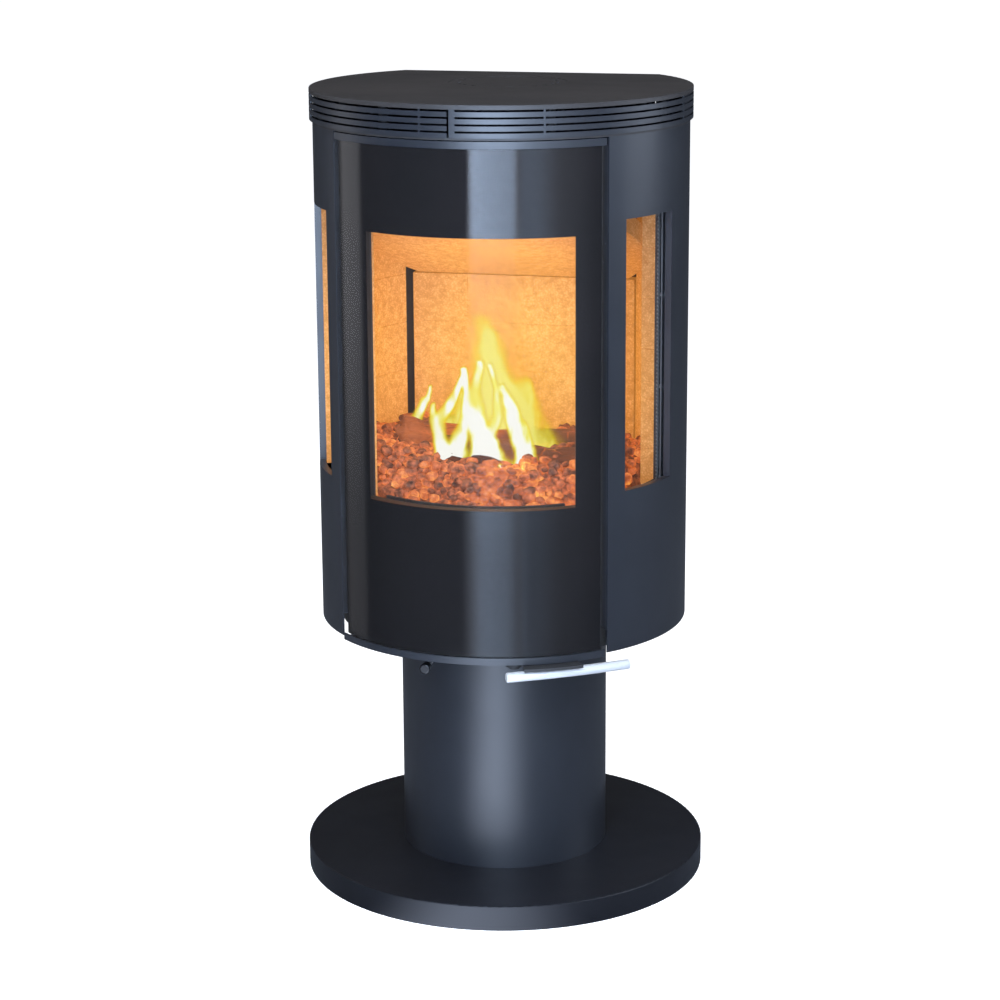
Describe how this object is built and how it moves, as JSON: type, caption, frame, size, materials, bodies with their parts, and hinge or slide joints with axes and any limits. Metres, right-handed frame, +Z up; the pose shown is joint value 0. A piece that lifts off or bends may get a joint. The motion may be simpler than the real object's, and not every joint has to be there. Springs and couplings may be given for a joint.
{
  "type": "wood burning stove",
  "caption": "Round wood burning stove on a pedestal, with a curved glass door, side windows, lever handle, air slide and top grille.",
  "frame": {"origin": "on the pedestal's axis at floor level", "axes": "+Z up, -Y towards the front of the door, +X to the right of someone facing the door"},
  "size_m": [0.5459, 0.546, 1.07],
  "materials": {
    "blue_grey_paint": "satin heat-resistant paint",
    "top_paint": "satin heat-resistant paint",
    "inner_paint": "matte heat-resistant paint",
    "grey_frame_paint": "light grey heat-resistant paint",
    "steel": "plain zinc-plated steel",
    "stainless": "satin stainless steel",
    "brass": "plain bush",
    "gloss_black": "gloss black, on the moulded knob and as the enamel printed on the door glass",
    "ceramic_glass": "clear glass-ceramic, printed black outside the window",
    "glass_tape": "woven glass-fibre tape",
    "firebrick": "vermiculite board and firebrick",
    "cast_iron": "raw casting",
    "charred_wood": "burning split logs",
    "embers": "glowing embers"
  },
  "bodies": {
    "stove": {"base_cover": "blue_grey_paint", "pedestal_column": "blue_grey_paint", "side_panel_left": "blue_grey_paint", "side_panel_right": "blue_grey_paint", "back_panel": "blue_grey_paint", "top_grille_left": "blue_grey_paint", "top_grille_right": "blue_grey_paint", "top_plate": "top_paint", "flue_cover": "top_paint", "top_cover_ring": "top_paint", "body_top_deck": "top_paint", "top_plate_posts": "top_paint", "base_bottom_plate": "inner_paint", "column_flanges": "inner_paint", "body_floor": "inner_paint", "panel_brackets": "inner_paint", "firebox_shell": "inner_paint", "firebox_front_frame": "inner_paint", "firebox_floor": "inner_paint", "firebox_top": "inner_paint", "flue_collar": "inner_paint", "flue_blanking_plate": "inner_paint", "outside_air_spigot": "inner_paint", "ash_pan": "inner_paint", "hinge_brackets": "inner_paint", "latch_keeper": "inner_paint", "damper_guides": "inner_paint", "side_glass_clamps": "grey_frame_paint", "flange_bolts": "steel", "back_panel_screws": "steel", "blanking_plate_bolts": "steel", "side_glass_screws": "steel", "hinge_pins": "steel", "baffle_bar": "steel", "rod_bush": "brass", "side_glass_left": "ceramic_glass", "side_glass_right": "ceramic_glass", "side_glass_gaskets": "glass_tape", "side_firebricks": "firebrick", "back_firebricks": "firebrick", "hearth_bricks": "firebrick", "baffle_plate": "firebrick", "grate": "cast_iron", "log_guard": "cast_iron", "logs": "charred_wood", "ember_bed": "embers"},
    "door": {"door_frame": "grey_frame_paint", "door_top_rail": "blue_grey_paint", "door_bottom_rail": "blue_grey_paint", "door_glass": "ceramic_glass", "door_glass_gasket": "glass_tape", "door_seal_channel": "grey_frame_paint", "door_seal_rope": "glass_tape", "hinge_blocks": "inner_paint", "lever_pivot_pin": "inner_paint"},
    "handle": {"handle_bar": "stainless", "latch_lever": "inner_paint"},
    "air_control": {"air_rod": "steel", "air_knob": "gloss_black", "air_damper": "inner_paint"}
  },
  "joints": [
    {"name": "door_hinge", "type": "hinge", "parent": "stove", "child": "door", "pos_m": [-0.16048, -0.17575, 0.69], "axis": [0, 0, -1], "range_deg": [0, 105]},
    {"name": "handle_pivot", "type": "hinge", "parent": "door", "child": "handle", "pos_m": [0.06618, -0.2234, 0.352], "axis": [0, 0, -1], "range_deg": [0, 25]},
    {"name": "air_slide", "type": "slide", "parent": "stove", "child": "air_control", "axis": [0, -1, 0], "range_m": [0, 0.03]}
  ]
}
